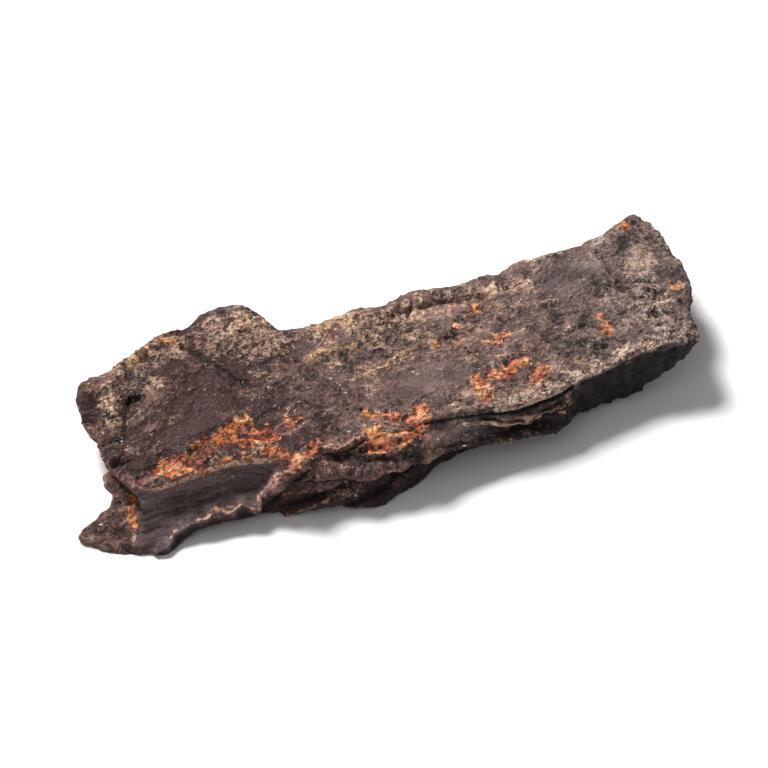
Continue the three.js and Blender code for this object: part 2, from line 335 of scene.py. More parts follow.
# %% The body as one function of a place on a box
def body(box_point):
    """Leads points of the nominal box to the slab and returns them with their outward directions.

    The box's corners are rounded, the four sides go to the outline, the level between the two faces
    becomes a height, and the lumps and reliefs are added along the outward direction.
    """
    half = np.array([LENGTH, WIDTH, THICKNESS]) / 2
    rounding = lerp(FRONT_ROUND, BACK_ROUND, ramp(-WIDTH / 4, WIDTH / 4, box_point[:, 1]))[:, None]
    inner = np.clip(box_point, rounding - half, half - rounding)
    outward = box_point - inner
    outward /= np.linalg.norm(outward, axis=1, keepdims=True)
    nominal_x, nominal_y, nominal_z = (inner + outward * rounding).T

    level = nominal_z / THICKNESS + 0.5
    x = lerp(left_end(nominal_y, level), right_end(nominal_y), nominal_x / LENGTH + 0.5)
    y = lerp(front_edge(x, level), back_edge(x), nominal_y / WIDTH + 0.5)
    z = lerp(foot_height(x, y), top_height(x, y), seam_level(x, nominal_y, level))
    point = np.stack([x, y, z], axis=1)

    share_x, share_y, share_z = (outward**2).T
    out = sum(rise * noise(point, wave, seed) for wave, rise, seed in LUMPS)
    near_end = hump(LENGTH / 2 + x, 13) + 0.6 * hump(LENGTH / 2 - x, 13)
    out += END_RISE * near_end * (0.65 - nearest_seed(point, END_WAVE, END_SEED))
    out += np.where(outward[:, 2] > 0, share_z * lines(TOP_LINES, x, y), 0)
    uneven = FOOT_RISE * noise(point * [1, 1, 0], FOOT_WAVE, FOOT_SEED)
    out += np.where(outward[:, 2] < 0, share_z * uneven, 0)
    out += np.where(outward[:, 1] < 0, share_y * wall_relief(x, z), 0)
    out += np.where(outward[:, 0] < 0, share_x * left_relief(y, z), 0)
    return point + outward * out[:, None], outward


# %% [markdown]
# ## The lattice
#
# One grid wrapped round the slab would pinch at its two ends. Six grids, one on each side of a box
# and welded along the edges, stay even everywhere. Each is a function of two parameters, and a point
# on an edge has the same three whole numbers on both grids, so the weld is a search for equal numbers.

# %% Six welded grids
CELLS = np.array([320, 104, 36])
CROWDING = 0.12


def box_shell(cells):
    """Lattice points, as whole numbers, and outward-facing quads of the six sides of a box."""
    stride = np.array([(cells[1] + 1) * (cells[2] + 1), cells[2] + 1, 1])
    sides = []
    for axis in range(3):
        u, v = (axis + 1) % 3, (axis + 2) % 3
        grid_u, grid_v = np.meshgrid(np.arange(cells[u] + 1), np.arange(cells[v] + 1), indexing="ij")
        for end in (0, cells[axis]):
            number = grid_u * stride[u] + grid_v * stride[v] + end * stride[axis]
            corners = [number[:-1, :-1], number[1:, :-1], number[1:, 1:], number[:-1, 1:]]
            quads = np.stack(corners, axis=-1).reshape(-1, 4)
            sides.append(quads if end else quads[:, ::-1])
    numbers, quads = np.unique(np.concatenate(sides), return_inverse=True)
    lattice = np.stack([numbers // stride[0], numbers // stride[1] % (cells[1] + 1), numbers % stride[1]])
    return lattice.T, quads.reshape(-1, 4)


def crowd(share):
    """Moves evenly spaced lattice lines, from -1 to 1, a little towards both ends."""
    return share + CROWDING * np.sin(np.pi * share) / np.pi


lattice, quads = box_shell(CELLS)
box_points = crowd(2 * lattice / CELLS - 1) * np.array([LENGTH, WIDTH, THICKNESS]) / 2
plain, outward = body(box_points)
plain_x, plain_y, plain_z = plain.T
out_x, out_y, out_z = outward.T
print(len(plain), "points and", 2 * len(quads), "triangles")

# %% [markdown]
# ## Where the fine forms lie
#
# The looks of the slab change from place to place: pale granular crust along the edges, torn
# rust-orange spots, calm grey-brown skin, a dark smooth cut wall. Each is a field from 0 to 1, made of
# soft spots whose borders noise makes curly. The same fields steer both the relief and, as mesh
# attributes, the colours.

# %% Rust-orange tears and flushed spots: the centre's x and y, and the reach
RUST_SPOTS = [
    (-63, -12.5, 3), (-60.5, -12, 4.4), (-58.5, -13, 4.2), (-56, -14, 3.6), (-54, -12.4, 3.4),
    (-52, -10.6, 3.4), (-50, -9, 3.6), (-48, -8.8, 3), (-45.6, -7, 3.2), (-43.4, -5.8, 3.2),
    (-41, -5.6, 3.2), (-45, -10, 3), (-43.5, -12.8, 3.2), (-40.6, -14, 3.2), (-40, -9, 3.4),
    (-38.6, -12.6, 3.4), (-36.4, -10.8, 3), (-37.4, -14, 2.8), (-29.6, -9, 2.6), (-38.4, -19, 2.6),
    (-35.6, -21.4, 2.4), (-28.4, -20.8, 2.6), (-33, -23, 3), (-30.6, -22.4, 2.6), (-13.2, -14.2, 3.2),
    (-14.8, -20, 3.4), (-14.2, -23.4, 3.4), (-12, -25, 3.2), (-15.6, -24.4, 3), (-10.8, -16.6, 3),
    (-8.8, -17.8, 3), (-6.6, -20.4, 2.6), (-3.8, -19.6, 3.2), (-2.3, -18.2, 2.6), (-3.8, -23, 3),
    (-6, -24.8, 3.2), (-8.6, -24.6, 3), (13.1, -14.8, 3.2), (13.4, -18.2, 4), (12, -21, 3.6),
    (17.6, -14.2, 3), (18.6, -16, 3.4), (21, -14.6, 3.4), (23.2, -13.4, 3), (24.8, -12.6, 2.6),
    (29, -15.8, 2.6), (27.4, -17.8, 3), (25.6, -20, 2.6), (22, -3.2, 2.8), (24.2, -1.2, 2.6),
    (26.4, -1.6, 2.4), (23, 10.9, 3.2), (15.7, 5.6, 2.2), (18.1, 14.2, 2.2), (47.6, -10.8, 2.6),
    (49.4, -5.2, 2.4), (48.6, -8, 2.2), (66.5, 23.6, 2.6), (69.5, -1.4, 3), (54, 22.6, 1.6), (10, 2.9, 2),
    (-49, 26.5, 2), (-53.6, 26.6, 2.2), (-11, 15, 1.8), (-62, 23.3, 1.8), (-56.6, 23.2, 1.8),
    (-39.7, -18.5, 2.6), (-44.4, -16.6, 2.4), (-36.8, -20.5, 2.6), (-49, -16.4, 2.2), (-54.5, -15.8, 2),
    (-34.6, -23.6, 2.2), (-17.5, -24, 2.2), (-46.6, 25.4, 2),
]
PINK_SPOTS = [
    (-41, 26, 2.4), (-38.4, 28.5, 2.4), (-41.6, 23.6, 2.4), (-34.4, -12.2, 3), (-32.2, -11.4, 3.4),
    (-31, -9.8, 3), (-28.6, -11.6, 3), (-13, -17.6, 3), (-10.6, -19.6, 3), (-66.5, -13.4, 3),
    (-69.3, -13.4, 2.4), (49.2, -4.6, 2.6), (48.6, -8, 2.6), (14.4, 0.8, 3.6), (10.4, 2.8, 2.6),
    (17, 0.6, 3), (16, 5, 2.4), (18, 14, 2.6), (-9.6, -21.4, 3.4), (-12, 15, 3.6), (19, -15.5, 3.4),
    (60, -17.4, 2.4), (-4, -26.5, 3),
]

# %% Pale crust, ochre tint, own tone with painted light and shade, and calm skin, in the same way
CRUST_SPOTS = [
    (-30, 26, 10), (-38, 27, 5), (-33, 20, 8), (-24, 18, 7), (-29, 15, 5), (-13, 19, 8), (-5, 18, 8),
    (3, 15, 8), (9, 15, 6), (6, 7, 5), (-4, 10, 5), (-14, 9.5, 5), (1, 1.6, 4), (-6, 0, 4), (-53, 24, 7),
    (-46, 24, 5), (-60, 19, 6), (-65.5, 16.3, 4.5), (-64.8, 13.4, 3), (-68.7, 12, 4), (-67.6, 6.5, 4),
    (-69.7, 6.6, 3), (-56, 13.4, 4.6), (37, 12.4, 5), (29.4, 15, 3), (-11.6, 13, 3.4), (65.4, 10, 6.4),
    (62, 2, 6), (63, -3, 6), (61, -9, 8), (63, -16, 7), (55, -17, 5), (48, -19, 4.6), (41, -20, 4.6),
    (34, -21.6, 4.6), (27, -23, 4.6), (19, -24, 5), (12, -23, 4.6), (5, -22.6, 3), (12, 20, 4), (20, 20, 4),
    (-33, 8, 4), (-37.4, 21, 5), (-44.4, -15.6, 3.6), (-38.6, -16.8, 3.6), (-50, -15.4, 3), (33, 14, 4),
    (-51, 24.4, 4), (-47, 22, 4),
]
OCHRE_SPOTS = [
    (-13, 20, 6), (-8, 19, 6), (-4, 19, 5), (-17, 9.6, 3), (29, 14.4, 4), (36, 13.6, 4), (49.4, -18.6, 2.4),
    (28.6, -9, 2.4), (38, -17, 3.4), (66, 13.2, 4), (64.5, 9.6, 4), (12, -22, 4), (22, -24, 4), (-30, 25, 4),
    (-70, 18, 3.4), (-32, -22.8, 3), (-15.6, -24, 4), (-12, -25, 3), (13.4, -19.4, 3.4), (-42, -5.4, 3.4),
    (-36, -19.6, 3),
]
# Here each row also has how much paler or darker the skin is: partly its own tone, partly painted light and
# shade.
TONE_AND_PAINTED_LIGHT_SPOTS = [
    (64, 8, 5, 0.45), (67.8, 11.4, 4, 0.5), (63, 15, 3, -0.25), (53, 14, 7, 0.15), (20, -21.8, 5, 0.35),
    (-11.8, 13, 3.6, 0.35), (-36.8, 21.4, 3.6, 0.35), (10, 12.5, 4, 0.35), (38.6, 11.2, 4, 0.35),
    (2.4, -12.6, 6, 0.3), (10, -18.6, 4.6, 0.35), (-71.4, 8, 3, -0.5), (37, -1.6, 5, -0.3),
    (-18.5, -3, 5, -0.25), (24, -11.4, 4, -0.65), (24.4, 3.2, 4, -0.3), (66, -1, 5, 0.2),
    (20, -15.6, 6, -0.15), (-29, 26, 6, 0.35), (-33, 24, 4, 0.35), (-67.5, 13, 5, 0.35), (-68, 7, 3, 0.3),
    (60, -17, 5, 0.3), (48, -19, 4, 0.3), (36, -21.6, 4, 0.3), (24, -24, 4, 0.35), (-8, 19, 6, 0.3),
    (-58, 22.5, 4, 0.3), (10, 3, 2.6, 0.4), (-66, 15.6, 3.6, 0.7), (9.4, 17.5, 6, 0.35), (15, 13, 6, 0.4),
    (36, 12, 5, 0.35), (42, 16.6, 5, 0.2), (15.9, -20.9, 5, 0.4), (64.2, -6.5, 5, 0.3),
    (-48.3, 24.5, 5, 0.35), (-53, 24.6, 4, 0.3), (-35.6, 25, 5, 0.3), (-56, 11.4, 4, 0.3),
    (-3.4, 18, 4, 0.25), (15, 19.8, 4, 0.3), (43.3, 19, 5, 0.3), (66.2, 21, 3.6, 0.35), (68, -9, 4, 0.3),
    (70, -1.6, 3, 0.3), (-1.2, -5.7, 6, 0.2), (-36.7, 5, 4, 0.2), (-47, -7.2, 3.4, -0.3),
    (-55, -12.9, 2.6, -0.5), (46, -3, 5, -0.15), (60, 1, 5, -0.2), (53.4, 13, 6, 0.2), (64.5, 7.4, 3.4, 0.4),
    (32.4, 14, 4, 0.35), (-51.5, 24.6, 4, 0.25), (-47, 22, 4, 0.3), (-66.5, -13.6, 4, 0.3),
    (-40, -17, 5, 0.25), (-4, 4, 5, -0.2), (-12, 2, 4, -0.2), (-41, 17, 5, 0.2), (-34, 3, 4, 0.2),
    (-3, 13.2, 3, -0.25), (3.7, 11, 4, -0.2), (7.6, 20.5, 3.4, -0.25), (-24.9, -19.3, 4, 0.22),
    (-20.7, -20.4, 3.4, 0.22), (-50.6, 21.4, 4, 0.2), (61.4, 5.9, 3.4, 0.25), (59.9, 21.2, 4, 0.2),
    (10.2, -17.5, 4, 0.25), (-70.5, -11.6, 3, 0.3), (-63.7, -13.3, 3, 0.2), (56.4, -20.2, 3, -0.2),
    (26, 0.6, 5, -0.15), (-61, -11.6, 3.4, 0.45), (-57, 10, 6, 0.15), (-50, 12, 6, 0.12), (-26, 8, 6, 0.1),
    (-66.4, 13.4, 2.6, 0.35), (-62.7, -6.9, 2.6, 0.5), (-54.1, 2.2, 2.6, 0.4), (-67.5, -4.6, 2.4, 0.4),
    (-61.7, -0.2, 2.4, 0.3), (-17, 0.5, 10, -0.3), (-23, 5.6, 6, -0.2), (-31, 0, 6, -0.2),
    (-48, -7.5, 5, -0.2), (-58, 17.8, 4.6, -0.5), (-72.5, 12, 3.6, -0.4), (-71.4, 18.9, 3, -0.25),
    (-64, 4, 4, -0.3), (65.5, 17.8, 4.6, -0.5), (68.6, 4, 4, -0.4), (49.8, -14.6, 5, -0.25),
    (-50, -9.6, 3.6, -0.2), (-3.4, 13, 3.6, -0.55), (65, -18.7, 4, -0.25),
]
# The pale band along the front edge is a chain, and each ochre line a chain and its half width.
PALE_BAND = [
    (6, -22.6), (13.5, -24.4), (19, -25), (24, -24.8), (30, -23.8), (36, -22.1), (42.6, -20.8), (49, -19.4),
    (56, -18.8), (62, -18.6),
]
OCHRE_LINES = [
    ([(-62, 23.3), (-59, 22.3), (-55.3, 23.9), (-52.3, 25.1), (-48.9, 26.4), (-45.4, 25.9)], 2.2),
    ([(-9.1, -1.4), (-5.6, -0.1), (-1.9, 1.4), (1.9, 2.7), (4.9, 3.4)], 0.7),
    ([(-19.5, 9.6), (-15.4, 10), (-11.8, 9.6), (-7.6, 9.8)], 0.8),
    ([(40.8, 21.8), (45.4, 21), (50.2, 21.2)], 0.5),
]
CALM_SPOTS = [
    (-47.6, 3.2, 8), (-43.4, 12, 3), (-41.4, 9, 3), (-56.6, -5.2, 7), (-36.5, -6.2, 3.2), (-33.4, -6.6, 3.4),
    (-30.6, -6.6, 2.8), (-19.4, 12, 4.5), (0, -9, 9), (6, -7, 8), (10, -12, 6), (48, 13, 9), (43, 8, 8),
    (54, 13, 4.6), (-50, -2, 6), (-66, -8, 4), (2, -16, 6), (-51.6, 22.6, 2.4), (68.8, 4.6, 3.6),
]

# %% Fields of the top face
def warped(points, wave, size, seed):
    """Points moved by three noises, so that what is read there gets curly borders."""
    moves = [noise(points, wave, seed + k) for k in range(3)]
    return points + size * np.stack(moves, axis=1)


# Places moved strongly, for spots and folds, and weakly, for lines and rims.
twisted = warped(warped(plain, 4.5, 1.1, 60), 1.9, 0.55, 57)
curly_x, curly_y, curly_z = warped(plain, 3.0, 0.6, 64).T


def cover(rows):
    """Soft spots of height 1 with curly borders on the top face, which add up to at most 1."""
    return np.minimum(spots([(*row, 1) for row in rows], twisted[:, 0], twisted[:, 1]), 1)


high = ramp(11, 12.5, plain_z)
facing_up = ramp(0.1, 0.6, out_z)
over_edge = np.maximum(facing_up, ramp(-0.6, 0, out_z) * high)
facing_front = ramp(-0.3, -0.8, out_y)
facing_left = ramp(-0.2, -0.6, out_x)
on_wall = 1 - ramp(0.25, 0.75, np.abs(out_z))
at_left = ramp(-60, -70, plain_x)
rust = over_edge * cover(RUST_SPOTS)
pink = over_edge * cover(PINK_SPOTS)
crust = over_edge * np.clip(cover(CRUST_SPOTS) + 0.5 * noise(plain, 5, 73) - 0.05, 0, 1)
crust = np.maximum(crust, 0.4 * facing_left * on_wall * ramp(5, 9, plain_z))
crust = np.maximum(crust, high * ramp(-0.2, 0.2, out_z) * ridge(PALE_BAND, 1.7, curly_x, curly_y))
ochre_lines = sum(ridge(chain, half, curly_x, curly_y) for chain, half in OCHRE_LINES)
ochre = over_edge * np.minimum(0.7 * cover(OCHRE_SPOTS) + ochre_lines, 1)
crust = np.maximum(crust, over_edge * np.minimum(0.8 * ochre_lines, 1))
calm = facing_up * cover(CALM_SPOTS) * (1 - 0.7 * crust)
shares = [round(100 * float(field.mean()), 1) for field in (rust, pink, crust, ochre, calm)]
print("rust, pink, crust, ochre and calm, % of the points:", shares)

# %% The cut wall, the rust at its left edge and the undercut
RUST_DRIP = [(-70.4, -10.5), (-71, -13.2), (-71.8, -15.8), (-71.9, -18.6)]
over_lip = ramp(-0.4, 0.8, curly_z - chain_height(LIP, curly_x))
smooth = facing_front * shelf(-76, -73, -40, -36, plain_x) * over_lip
below_lip = 1 - facing_front - facing_up
drip = below_lip * ramp(8, 7, plain_z) * ridge(RUST_DRIP, 0.8, curly_x, curly_y)
rust = np.maximum(rust, 1.2 * drip)
grey_layer = shelf(-5, 0, 12, 20, curly_x) * shelf(10.4, 11.2, 12.8, 13.4, curly_z + 0.16 * curly_x)
smooth = np.maximum(smooth, 0.8 * facing_front * grey_layer)
undercut = facing_front * ramp(30, 36, plain_x)
warm = ramp(0, -50, plain_x)
cool = np.maximum(ramp(15, 60, plain_x), high * ridge(PALE_BAND, 2.5, curly_x, curly_y))

# %% [markdown]
# ## Layers, cracks and rims
#
# The strip dried in layers, and where one ends it overlaps the next: level on one side, a small cliff on
# the other. A polyline and the signed distance to it give such a flake: on its left-hand side, as one
# walks along it, the surface is raised and falls off slowly, and on its right-hand side it drops.

# %% Flakes
def flake(chain, reach, u, v):
    """Edge of an overlapping layer: 1 at the chain, e to the minus (distance over reach) behind it."""
    distance = chain_distance(chain, u, v)
    return np.exp(-np.maximum(distance, 0) / reach) * ramp(-0.5, 0.1, distance)


# %% Top face. Flakes: chain, reach behind it and rise. Ridges: chain, half width and rise
LAYER_END = [(-28.7, -20.9), (-27, -22), (-24.3, -22.5), (-20.9, -22.3), (-17.4, -21.3), (-15.8, -18.4)]
TOP_FLAKES = [
    ([(-44, 25), (-42.5, 19.6), (-39.5, 14.6), (-37.4, 9.6), (-35.6, 6)], 4, 0.6),
    (LAYER_END, 1.4, 1),
    ([(4, 17), (8.9, 17.4), (12, 17.6), (16.5, 17.5), (22, 16.6), (27, 15)], 2.4, 0.6),
    ([(-38.5, -8), (-37.6, -5.2), (-34.6, -3.4), (-31, -3.6)], 2.4, 0.6),
    ([(-64, -10), (-58, -9.6), (-54, -9), (-51.5, -6.4), (-47, -5), (-42.5, -3), (-38.5, -4)], 2, 0.45),
    ([(-20, -7), (-15, -11.6), (-9, -14.2), (-2, -15.6), (3, -13.6)], 2.4, 0.4),
    ([(6, 3.4), (10, 4.2), (13, 4.4), (17, 3.6), (21, 4)], 1.6, 0.5),
    ([(20, -0.6), (24, -2.4), (28, -3), (33, -2.4)], 1.4, 0.5),
    ([(30, 6.4), (35, 4.6), (41, 4)], 1.6, 0.5),
    ([(34, -4.6), (40.4, -5.6), (46, -4.6)], 1.2, 0.6),
    ([(38, -11), (42, -12.4), (45, -14.6)], 1.2, 0.6),
    ([(60.6, 17), (62, 11), (61.4, 5), (58, 0)], 3, 0.75),
    ([(-62, -2), (-57, 0.6), (-52, 0)], 1.6, 0.35),
    ([(-33, 12.4), (-28, 11.4), (-22, 13)], 1.6, 0.5),
    ([(28, 12.4), (33, 11.4), (39, 12.4)], 1.6, 0.55),
]
HOOD = [(-62.4, 22.8), (-58, 22.6), (-55, 25), (-50.5, 26.8), (-46.6, 25), (-44, 24)]
TOP_RIDGES = [
    (HOOD, 1.1, 0.9),
    (OCHRE_LINES[1][0], 0.6, 0.7),
    (OCHRE_LINES[2][0], 0.7, 0.6),
    ([(-69.8, 20), (-67.3, 18.3), (-66.5, 14)], 1.6, 0.6),
    ([(-1, -24), (4, -22.8), (10, -22.8)], 0.7, 0.5),
    ([(-3.4, -20.4), (-2.8, -17.6)], 0.9, 0.5),
    ([(42, 19.6), (50, 21.4), (58, 22.6)], 0.8, 0.4),
]

# %% Front wall, as place along it and height. Strands and gaps: chain, half width, and rise or depth
LIP_EDGE = [
    (-69, 0.6), (-65.7, 2.2), (-62.5, 3), (-59, 4), (-55, 4.4), (-50, 4.2), (-46.3, 4.2), (-42.3, 5.2),
]
FLAP_EDGE = [(2, 11.6), (8, 11.2), (14, 10.4), (20, 9.1), (25, 8), (29, 8.1), (32, 9.6)]
FOLD_EDGE = [(-8, 7.8), (0, 7.8), (6, 7.2), (12, 6.4), (17, 6), (22, 6), (27, 6.2)]
ROPE = [
    (-48, 4.8), (-44.2, 5.3), (-42.1, 6.4), (-40.4, 8.2), (-39, 9.8), (-36.9, 12), (-34.7, 13.4),
    (-32.5, 14.2),
]
TONGUE = [(-37.5, 6), (-34, 6.7), (-30.5, 6.7), (-27.4, 6.3)]
UPPER_LOBE = [(-30, 11.6), (-27, 10.7), (-23.5, 9.8), (-19.6, 8.9), (-15, 9), (-11, 10)]
LOWER_LOBE = [
    (-38, 1.2), (-34, 2.4), (-30, 3.4), (-26.8, 4.7), (-23.5, 5.7), (-20, 6.2), (-16.4, 7), (-12, 8),
    (-8, 8.6),
]
WALL_STRANDS = [
    (ROPE, 0.8, 1.7),
    (TONGUE, 1.2, 0.8),
    (UPPER_LOBE, 1.4, 1.4),
    (LOWER_LOBE, 1.1, 1.4),
    ([(-34, 9.4), (-31.5, 8.6), (-29, 8.2)], 0.5, 0.5),
    ([(-20, 10.2), (-15, 10.6), (-9, 10.8), (-3, 10.6)], 2, 0.8),
    ([(-18, 11.8), (-13, 11.7), (-7, 12)], 0.5, 0.7),
    ([(-14, 9.9), (-9, 10), (-4, 9.9)], 0.5, 0.6),
    ([(-13, 4), (-8, 5.4), (-2, 6.2), (5, 5.4), (12, 4.2), (20, 3.6)], 0.9, 0.8),
]
FLAP_SHEET = [
    (4, 12), (9.4, 11.8), (14.1, 11), (18.3, 10.2), (21.5, 9.4), (25.1, 8.6), (28.7, 8.8), (31.7, 10.2),
]
UNDER_FLAP = [(-6, 8.6), (0, 8.4), (6, 7.8), (12, 7), (17, 6.7), (22, 6.6), (27, 6.8)]
WALL_GAPS = [
    ([(-43.4, 2.2), (-39.9, 4.6), (-38.3, 7.6), (-36.5, 10), (-34.7, 11.8), (-31.6, 12.6)], 0.75, 1.2),
    ([(-31, 13.4), (-28.5, 12.9), (-25, 12.1), (-21.5, 11.8)], 0.45, 0.6),
    ([(-20, 11), (-15, 10.8), (-9, 11), (-4, 10.8), (0, 11)], 0.4, 0.8),
    ([
        (-36, 9.2), (-33, 9.5), (-30.3, 9.4), (-28, 8.4), (-25, 7.7), (-21, 7.4), (-16, 7.9), (-11, 9),
    ], 0.55, 1),
    ([(-38, 3.2), (-34, 4.6), (-30, 5), (-27, 5.6)], 0.55, 1),
    ([(-32, 0.8), (-28, 1.6), (-24, 2.8), (-18, 4), (-12, 5.4)], 0.8, 0.9),
    ([
        (-3, 14.4), (2.8, 14), (7.5, 13.6), (14.1, 13.1), (18.8, 12.8), (23.8, 13.1), (29.2, 13.4),
        (33, 13.6),
    ], 0.7, 1.5),
    ([(0, 10.2), (6, 9.8), (12, 9.1), (18, 8.2), (24, 6.8)], 0.45, 0.7),
    ([(10, 12.3), (16, 11.7), (22, 10.8), (28, 10.4)], 0.3, 0.7),
    ([(-10, 7), (-4, 7.8), (2, 8), (8, 7.2), (14, 6.2), (20, 5.6), (26, 5.4)], 0.7, 0.9),
]

# %% Cracks: chain, half width and depth. Pits: centre, two half widths and depth
TOP_CRACKS = [
    ([(-59.8, 12.8), (-62.4, 12.2), (-63.6, 9.6), (-65.6, 4.6), (-67.4, -0.4)], 0.45, 0.8),
    ([(-43.5, 22), (-42.5, 19.6), (-39.5, 14.6), (-37.4, 9.6), (-35.6, 6)], 0.45, 0.8),
    ([(-35.6, 6), (-33, 3.2), (-30, 1.6)], 0.4, 0.4),
    ([(5, 17), (9, 17.2), (13, 17.2), (18, 16.8), (23, 15.9)], 0.4, 0.4),
    ([(-10.6, -20), (-8, -22.2), (-4.6, -20.6)], 0.4, 0.6),
    ([(-10, -23.4), (-7.4, -24), (-4.4, -22.8)], 0.4, 0.8),
    ([(-1, -15.6), (3, -17), (8, -17.6)], 0.3, 0.3),
    ([(36, -4.6), (40.4, -6.2), (44, -5.6)], 0.45, 0.6),
    ([(41.4, -11.6), (43, -13), (45, -14.4)], 0.5, 0.7),
    ([(30, 5.6), (36, 3.4), (41, 3)], 0.4, 0.5),
    ([(24, -5.6), (31, -4.6), (36, -5.6)], 0.35, 0.4),
    ([(-27.6, -22.8), (-24.3, -23.4), (-20.6, -23.2), (-17, -22)], 0.6, 0.6),
    ([(-55, -14.8), (-53, -14), (-50.6, -12)], 0.5, 0.6),
    ([(-74, 1.2), (-72, -0.8), (-69, -1.4)], 0.5, 0.6),
    ([(-74, -7), (-71.6, -6.4), (-69, -7.6)], 0.5, 0.5),
]
PITS = [
    (12.7, 4.0, 0.8, 0.4, 0.9), (14.6, 3.6, 0.8, 0.35, 0.8), (-62, 12, 1, 0.5, 0.5),
    (24.6, -2.8, 0.9, 0.35, 0.7), (44.2, -14.6, 0.9, 0.4, 0.7), (-52.4, -13.4, 1, 0.5, 0.7),
]


def pits(rows, u, v):
    """Sum of oval pits: depth times e to the minus squared distance, in units of the half widths."""
    return sum(
        deep * np.exp(-(((u - x) / wide) ** 2) - ((v - y) / tall) ** 2)
        for x, y, wide, tall, deep in rows
    )


cracks = facing_up * (lines(TOP_CRACKS, curly_x, curly_y) + pits(PITS, curly_x, curly_y))
strands = facing_front * lines(WALL_STRANDS, curly_x, curly_z)
gaps = facing_front * lines(WALL_GAPS, curly_x, curly_z)
# Painted shade: dark in the cracks and pits on top and in the gaps under the wall's layers.
painted_crack_shade = np.clip(cracks * 1.3 + 0.9 * np.maximum(gaps - 0.3 * strands, 0), 0, 1)
sheets = facing_front * (
    1.1 * flake(LIP_EDGE, 0.8, curly_x, curly_z)
    + 2.4 * shelf(1, 7, 31.5, 34.5, curly_x) * flake(FLAP_EDGE, 1.8, curly_x, curly_z)
    + 1.4 * shelf(-8, -2, 27, 31, curly_x) * flake(FOLD_EDGE, 1.4, curly_x, curly_z)
    + 0.5 * ridge(FLAP_SHEET, 0.5, curly_x, curly_z)
    + 1.5 * hump(plain_x + 11, 7.5) * ramp(10.5, 13, plain_z)
)

# %% Painted black shade: the undercut, below the fold, between fold and flap, over the flap, and the lip's foot
above_lip, above_flap, above_fold = (
    curly_z - chain_height(chain, curly_x) for chain in (LIP_EDGE, FLAP_SHEET, UNDER_FLAP)
)
# Painted light on the flap's face, which the painted black shade leaves out.
flap_painted_light = facing_front * shelf(0, 6, 32, 34, curly_x) * shelf(-0.8, 0.2, 1.2, 2, above_flap)
below_fold = ramp(-6, 6, curly_x) * ramp(-0.9, -1.6, above_fold)
between = shelf(8, 13, 30, 34, curly_x) * ramp(-0.9, -1.3, above_flap) * ramp(0.9, 1.3, above_fold)
over_flap = shelf(8, 15, 28, 32, curly_x) * ramp(1.2, 2, above_flap) * ramp(13.9, 13.1, curly_z)
foot = shelf(-75, -70, -44, -40, plain_x) * ramp(0.1, -0.5, above_lip)
shaded = np.maximum.reduce([0.85 * below_fold, 0.7 * between, 0.65 * over_flap, 0.82 * foot])
painted_shade = np.maximum(undercut * (1 - flap_painted_light), facing_front * shaded)

# %% Rims: pale broken lines where a layer ends, partly painted highlight, and flushed flesh beside them
def raised(chain, rise):
    """The same chain of points, lifted."""
    return [(along, height + rise) for along, height in chain]


WALL_RIM_HIGHLIGHTS = [
    (raised(LIP_EDGE[1:], 0.5), 0.24, 1),
    (raised(FLAP_SHEET[1:], -0.1), 0.55, 1.2),
    ([(28.7, 9.3), (30.6, 10.3), (31.8, 11.6)], 0.55, 1.2),
    (raised(UNDER_FLAP[:5], -0.2), 0.5, 0.9),
    (raised(ROPE[1:], 0.4), 0.45, 0.85),
    (raised(LOWER_LOBE, 0.3), 0.6, 0.65),
    (raised(UPPER_LOBE[2:], 0.3), 0.5, 0.5),
]
WALL_FLUSH = [
    (ROPE[1:], 0.8, 0.95),
    ([(-54, 4.9), (-47, 4.8)], 0.45, 0.6),
    (TONGUE, 1.5, 0.6),
    (UPPER_LOBE, 1.2, 0.6),
]
LOWER_FLESH = [(-26, -21.4), (-20, -21.2), (-16, -19)]
LEFT_RIM = [(-18, 4.3), (-23.6, 1.4)]
rim_and_highlight = facing_front * lines(WALL_RIM_HIGHLIGHTS, curly_x, curly_z)
rim_and_highlight += 1.1 * facing_up * shelf(-72, -69, -36, -32, plain_x) * hump(out_y + 0.55, 0.4)
rim_and_highlight += 0.6 * on_wall * ramp(-66, -70, plain_x) * ridge(LEFT_RIM, 0.5, curly_y, curly_z)
rim_and_highlight += 0.8 * high * ramp(-0.3, 0.1, out_z) * ridge(PALE_BAND[1:], 0.8, curly_x, curly_y + 0.9)
rim_and_highlight += 0.8 * facing_up * ridge(LAYER_END, 0.9, curly_x, curly_y - 0.4)
rim_and_highlight = np.clip(rim_and_highlight, 0, 1)
flush = facing_front * lines(WALL_FLUSH, curly_x, curly_z)
flush = np.clip(flush + 0.7 * facing_up * ridge(LOWER_FLESH, 1.6, curly_x, curly_y), 0, 1)

# %% How pale or dark the body is: own tone, painted light and shade; on the front wall: x, height, reach and amount
WALL_PAINTED_LIGHT = [
    (-22, 10.5, 4.4, -0.3), (-32.4, 14.3, 2.4, 0.4), (-57, 4.5, 4, -0.45), (-66, 2.4, 4, -0.5),
    (-49, 4.6, 3, -0.2), (-26.4, 3.3, 3, -0.2), (-50, 6.6, 4, 0.15), (-44, 7, 3, 0.15),
    (-30.4, 11.4, 2, 0.3),
]
# The skin's own tone from noise, plus painted light on the raised strands and on the flap's face.
tone_and_painted_light = 0.46 + 0.2 * noise(plain, 13, 75) + 0.2 * noise(plain, 4, 76) + 0.15 * strands + 0.65 * flap_painted_light
far_left = ramp(-58, -66, twisted[:, 0]) * ramp(0, 6, twisted[:, 1])
tone_and_painted_light -= 0.3 * ramp(-24, -42, twisted[:, 0]) * (1 - far_left)
